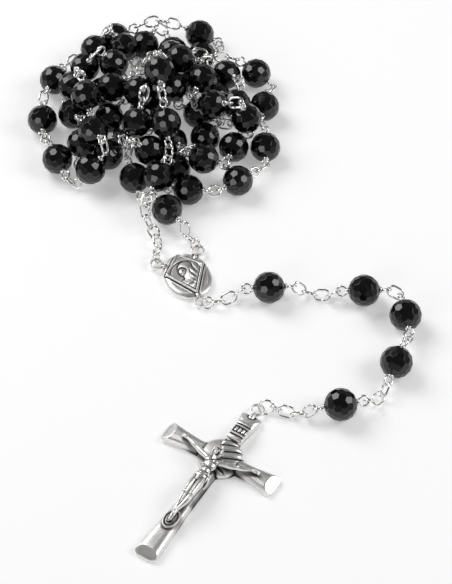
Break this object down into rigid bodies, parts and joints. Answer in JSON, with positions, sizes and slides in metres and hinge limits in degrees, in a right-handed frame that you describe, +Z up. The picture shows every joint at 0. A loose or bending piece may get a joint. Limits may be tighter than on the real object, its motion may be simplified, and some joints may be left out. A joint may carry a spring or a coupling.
{
  "type": "rosary",
  "caption": "Black faceted bead loop with silver-tone wire links, an oval centre medal and a pendant chain ending in a crucifix.",
  "frame": {"origin": "middle of the footprint, on the table the rosary lies on", "axes": "+Z up from the table; -Y towards the crucifix, +Y towards the heaped loop; +X to the right with the crucifix nearest"},
  "size_m": [0.1003, 0.1719, 0.0219],
  "materials": {
    "medal_foot_ring_mat": "bright silver-tone wire",
    "medal_link_1_mat": "bright silver-tone wire",
    "medal_link_2_mat": "bright silver-tone wire",
    "medal_link_3_mat": "bright silver-tone wire",
    "our_father_upper_bead_mat": "polished faceted black stone",
    "our_father_upper_pin_mat": "bright silver-tone wire",
    "upper_link_1_mat": "bright silver-tone wire",
    "upper_link_2_mat": "bright silver-tone wire",
    "upper_link_3_mat": "bright silver-tone wire",
    "upper_link_4_mat": "bright silver-tone wire",
    "hail_mary_1_bead_mat": "polished faceted black stone",
    "hail_mary_1_pin_mat": "bright silver-tone wire",
    "middle_link_1_mat": "bright silver-tone wire",
    "hail_mary_2_bead_mat": "polished faceted black stone",
    "hail_mary_2_pin_mat": "bright silver-tone wire",
    "middle_link_2_mat": "bright silver-tone wire",
    "hail_mary_3_bead_mat": "polished faceted black stone",
    "hail_mary_3_pin_mat": "bright silver-tone wire",
    "lower_link_1_mat": "bright silver-tone wire",
    "lower_link_2_mat": "bright silver-tone wire",
    "lower_link_3_mat": "bright silver-tone wire",
    "our_father_lower_bead_mat": "polished faceted black stone",
    "our_father_lower_pin_mat": "bright silver-tone wire",
    "cross_link_1_mat": "bright silver-tone wire",
    "cross_link_2_mat": "bright silver-tone wire",
    "cross_link_3_mat": "bright silver-tone wire",
    "cross_jump_ring_small_mat": "bright silver-tone wire",
    "cross_jump_ring_large_mat": "bright silver-tone wire",
    "left_jump_ring_mat": "bright silver-tone wire",
    "left_link_1_mat": "bright silver-tone wire",
    "left_link_2_mat": "bright silver-tone wire",
    "left_link_3_mat": "bright silver-tone wire",
    "left_link_4_mat": "bright silver-tone wire",
    "left_link_5_mat": "bright silver-tone wire",
    "left_link_6_mat": "bright silver-tone wire",
    "right_link_1_mat": "bright silver-tone wire",
    "right_link_2_mat": "bright silver-tone wire",
    "right_jump_ring_mat": "bright silver-tone wire",
    "last_bead_mat": "polished faceted black stone",
    "last_bead_pin_mat": "bright silver-tone wire",
    "decade_1_mat": "polished faceted black stone",
    "decade_2_mat": "polished faceted black stone",
    "decade_3_mat": "polished faceted black stone",
    "decade_4_mat": "polished faceted black stone",
    "decade_5_mat": "polished faceted black stone",
    "our_father_1_bead_mat": "polished faceted black stone",
    "our_father_1_chain_mat": "bright silver-tone wire",
    "our_father_2_bead_mat": "polished faceted black stone",
    "our_father_2_chain_mat": "bright silver-tone wire",
    "our_father_3_bead_mat": "polished faceted black stone",
    "our_father_3_chain_mat": "bright silver-tone wire",
    "our_father_4_bead_mat": "polished faceted black stone",
    "our_father_4_chain_mat": "bright silver-tone wire",
    "medal_mat": "antiqued cast silver tone, satin",
    "crucifix_cross_mat": "antiqued cast silver tone, satin",
    "corpus_mat": "antiqued cast silver tone, satin",
    "title_scroll_mat": "antiqued cast silver tone, satin"
  },
  "bodies": {
    "medal_and_loop": {"left_jump_ring": "left_jump_ring_mat", "left_link_1": "left_link_1_mat", "left_link_2": "left_link_2_mat", "left_link_3": "left_link_3_mat", "left_link_4": "left_link_4_mat", "left_link_5": "left_link_5_mat", "left_link_6": "left_link_6_mat", "right_link_1": "right_link_1_mat", "right_link_2": "right_link_2_mat", "right_jump_ring": "right_jump_ring_mat", "last_bead_pin": "last_bead_pin_mat", "decade_1": "decade_1_mat", "decade_2": "decade_2_mat", "decade_3": "decade_3_mat", "decade_4": "decade_4_mat", "decade_5": "decade_5_mat", "our_father_1_bead": "our_father_1_bead_mat", "our_father_1_chain": "our_father_1_chain_mat", "our_father_2_bead": "our_father_2_bead_mat", "our_father_2_chain": "our_father_2_chain_mat", "our_father_3_bead": "our_father_3_bead_mat", "our_father_3_chain": "our_father_3_chain_mat", "our_father_4_bead": "our_father_4_bead_mat", "our_father_4_chain": "our_father_4_chain_mat", "medal": "medal_mat"},
    "medal_foot_ring": {"medal_foot_ring": "medal_foot_ring_mat"},
    "medal_link_1": {"medal_link_1": "medal_link_1_mat"},
    "medal_link_2": {"medal_link_2": "medal_link_2_mat"},
    "medal_link_3": {"medal_link_3": "medal_link_3_mat"},
    "our_father_upper_pin": {"our_father_upper_pin": "our_father_upper_pin_mat"},
    "our_father_upper_bead": {"our_father_upper_bead": "our_father_upper_bead_mat"},
    "upper_link_1": {"upper_link_1": "upper_link_1_mat"},
    "upper_link_2": {"upper_link_2": "upper_link_2_mat"},
    "upper_link_3": {"upper_link_3": "upper_link_3_mat"},
    "upper_link_4": {"upper_link_4": "upper_link_4_mat"},
    "hail_mary_1_pin": {"hail_mary_1_pin": "hail_mary_1_pin_mat"},
    "hail_mary_1_bead": {"hail_mary_1_bead": "hail_mary_1_bead_mat"},
    "middle_link_1": {"middle_link_1": "middle_link_1_mat"},
    "hail_mary_2_pin": {"hail_mary_2_pin": "hail_mary_2_pin_mat"},
    "hail_mary_2_bead": {"hail_mary_2_bead": "hail_mary_2_bead_mat"},
    "middle_link_2": {"middle_link_2": "middle_link_2_mat"},
    "hail_mary_3_pin": {"hail_mary_3_pin": "hail_mary_3_pin_mat"},
    "hail_mary_3_bead": {"hail_mary_3_bead": "hail_mary_3_bead_mat"},
    "lower_link_1": {"lower_link_1": "lower_link_1_mat"},
    "lower_link_2": {"lower_link_2": "lower_link_2_mat"},
    "lower_link_3": {"lower_link_3": "lower_link_3_mat"},
    "our_father_lower_pin": {"our_father_lower_pin": "our_father_lower_pin_mat"},
    "our_father_lower_bead": {"our_father_lower_bead": "our_father_lower_bead_mat"},
    "cross_link_1": {"cross_link_1": "cross_link_1_mat"},
    "cross_link_2": {"cross_link_2": "cross_link_2_mat"},
    "cross_link_3": {"cross_link_3": "cross_link_3_mat"},
    "cross_jump_ring_small": {"cross_jump_ring_small": "cross_jump_ring_small_mat"},
    "cross_jump_ring_large": {"cross_jump_ring_large": "cross_jump_ring_large_mat"},
    "crucifix": {"crucifix_cross": "crucifix_cross_mat", "corpus": "corpus_mat", "title_scroll": "title_scroll_mat"},
    "last_bead": {"last_bead": "last_bead_mat"}
  },
  "joints": [
    {"name": "medal_foot_ring_hinge", "type": "hinge", "parent": "medal_and_loop", "child": "medal_foot_ring", "pos_m": [-0.00293, -0.0116, 0.00137], "axis": [0, 0, 1], "range_deg": [-20, 8]},
    {"name": "medal_link_1_hinge", "type": "hinge", "parent": "medal_foot_ring", "child": "medal_link_1", "pos_m": [-0.00091, -0.01146, 0.00179], "axis": [0, 0, -1], "range_deg": [-12, 30]},
    {"name": "medal_link_2_hinge", "type": "hinge", "parent": "medal_link_1", "child": "medal_link_2", "pos_m": [0.00188, -0.01041, 0.00105], "axis": [0, 0, 1], "range_deg": [-30, 30]},
    {"name": "medal_link_3_hinge", "type": "hinge", "parent": "medal_link_2", "child": "medal_link_3", "pos_m": [0.00464, -0.00942, 0.00192], "axis": [0, 0, -1], "range_deg": [-30, 30]},
    {"name": "our_father_upper_pin_hinge", "type": "hinge", "parent": "medal_link_3", "child": "our_father_upper_pin", "pos_m": [0.00688, -0.00905, 0.00398], "axis": [0, 0, 1], "range_deg": [-30, 30]},
    {"name": "our_father_upper_bead_spin", "type": "hinge", "parent": "our_father_upper_pin", "child": "our_father_upper_bead", "pos_m": [0.0132, -0.00859, 0.00403], "axis": [0.9973, 0.0728, 0.0065], "continuous": true},
    {"name": "upper_link_1_hinge", "type": "hinge", "parent": "our_father_upper_pin", "child": "upper_link_1", "pos_m": [0.01951, -0.00813, 0.00407], "axis": [0, 0, -1], "range_deg": [-30, 30]},
    {"name": "upper_link_2_hinge", "type": "hinge", "parent": "upper_link_1", "child": "upper_link_2", "pos_m": [0.0218, -0.00817, 0.00203], "axis": [0, 0, 1], "range_deg": [-30, 30]},
    {"name": "upper_link_3_hinge", "type": "hinge", "parent": "upper_link_2", "child": "upper_link_3", "pos_m": [0.02474, -0.0087, 0.00135], "axis": [0, 0, -1], "range_deg": [-30, 30]},
    {"name": "upper_link_4_hinge", "type": "hinge", "parent": "upper_link_3", "child": "upper_link_4", "pos_m": [0.02779, -0.00899, 0.00147], "axis": [0, 0, 1], "range_deg": [-30, 30]},
    {"name": "hail_mary_1_pin_hinge", "type": "hinge", "parent": "upper_link_4", "child": "hail_mary_1_pin", "pos_m": [0.03037, -0.00906, 0.00311], "axis": [0, 0, -1], "range_deg": [-30, 30]},
    {"name": "hail_mary_1_bead_spin", "type": "hinge", "parent": "hail_mary_1_pin", "child": "hail_mary_1_bead", "pos_m": [0.03661, -0.00955, 0.00404], "axis": [0.9862, -0.0761, 0.1471], "continuous": true},
    {"name": "middle_link_1_hinge", "type": "hinge", "parent": "hail_mary_1_pin", "child": "middle_link_1", "pos_m": [0.04285, -0.01003, 0.00497], "axis": [0, 0, 1], "range_deg": [-30, 30]},
    {"name": "hail_mary_2_pin_hinge", "type": "hinge", "parent": "middle_link_1", "child": "hail_mary_2_pin", "pos_m": [0.04554, -0.01111, 0.00402], "axis": [0, 0, -1], "range_deg": [-30, 16]},
    {"name": "hail_mary_2_bead_spin", "type": "hinge", "parent": "hail_mary_2_pin", "child": "hail_mary_2_bead", "pos_m": [0.04635, -0.01738, 0.00404], "axis": [0.1278, -0.9918, 0.0029], "continuous": true},
    {"name": "middle_link_2_hinge", "type": "hinge", "parent": "hail_mary_2_pin", "child": "middle_link_2", "pos_m": [0.04716, -0.02365, 0.00406], "axis": [0, 0, 1], "range_deg": [-30, 30]},
    {"name": "hail_mary_3_pin_hinge", "type": "hinge", "parent": "middle_link_2", "child": "hail_mary_3_pin", "pos_m": [0.04574, -0.02613, 0.00514], "axis": [0, 0, -1], "range_deg": [-30, 30]},
    {"name": "hail_mary_3_bead_spin", "type": "hinge", "parent": "hail_mary_3_pin", "child": "hail_mary_3_bead", "pos_m": [0.04331, -0.03187, 0.00404], "axis": [-0.3845, -0.9066, -0.1739], "continuous": true},
    {"name": "lower_link_1_hinge", "type": "hinge", "parent": "hail_mary_3_pin", "child": "lower_link_1", "pos_m": [0.04087, -0.03761, 0.00294], "axis": [0, 0, 1], "range_deg": [-30, 30]},
    {"name": "lower_link_2_hinge", "type": "hinge", "parent": "lower_link_1", "child": "lower_link_2", "pos_m": [0.03967, -0.03984, 0.00123], "axis": [0, 0, -1], "range_deg": [-30, 20]},
    {"name": "lower_link_3_hinge", "type": "hinge", "parent": "lower_link_2", "child": "lower_link_3", "pos_m": [0.03769, -0.04207, 0.00192], "axis": [0, 0, 1], "range_deg": [-30, 30]},
    {"name": "our_father_lower_pin_hinge", "type": "hinge", "parent": "lower_link_3", "child": "our_father_lower_pin", "pos_m": [0.03572, -0.04325, 0.00395], "axis": [0, 0, -1], "range_deg": [-30, 20]},
    {"name": "our_father_lower_bead_spin", "type": "hinge", "parent": "our_father_lower_pin", "child": "our_father_lower_bead", "pos_m": [0.02953, -0.04455, 0.00403], "axis": [-0.9785, -0.2058, 0.0127], "continuous": true},
    {"name": "cross_link_1_hinge", "type": "hinge", "parent": "our_father_lower_pin", "child": "cross_link_1", "pos_m": [0.02333, -0.04585, 0.00411], "axis": [0, 0, 1], "range_deg": [-20, 30]},
    {"name": "cross_link_2_hinge", "type": "hinge", "parent": "cross_link_1", "child": "cross_link_2", "pos_m": [0.0212, -0.04571, 0.00192], "axis": [0, 0, -1], "range_deg": [-30, 30]},
    {"name": "cross_link_3_hinge", "type": "hinge", "parent": "cross_link_2", "child": "cross_link_3", "pos_m": [0.01825, -0.04514, 0.00134], "axis": [0, 0, 1], "range_deg": [-30, 30]},
    {"name": "cross_jump_ring_small_hinge", "type": "hinge", "parent": "cross_link_3", "child": "cross_jump_ring_small", "pos_m": [0.01532, -0.04426, 0.00147], "axis": [0, 0, -1], "range_deg": [-30, 30]},
    {"name": "cross_jump_ring_large_hinge", "type": "hinge", "parent": "cross_jump_ring_small", "child": "cross_jump_ring_large", "pos_m": [0.01343, -0.04378, 0.00215], "axis": [0, 0, 1], "range_deg": [-30, 30]},
    {"name": "crucifix_hinge", "type": "hinge", "parent": "cross_jump_ring_large", "child": "crucifix", "pos_m": [0.01083, -0.04377, 0.00159], "axis": [0, 0, -1], "range_deg": [-30, 30]},
    {"name": "last_bead_spin", "type": "hinge", "parent": "medal_and_loop", "child": "last_bead", "pos_m": [-0.01249, 0.01743, 0.00403], "axis": [0.6958, -0.7168, -0.0447], "continuous": true}
  ]
}
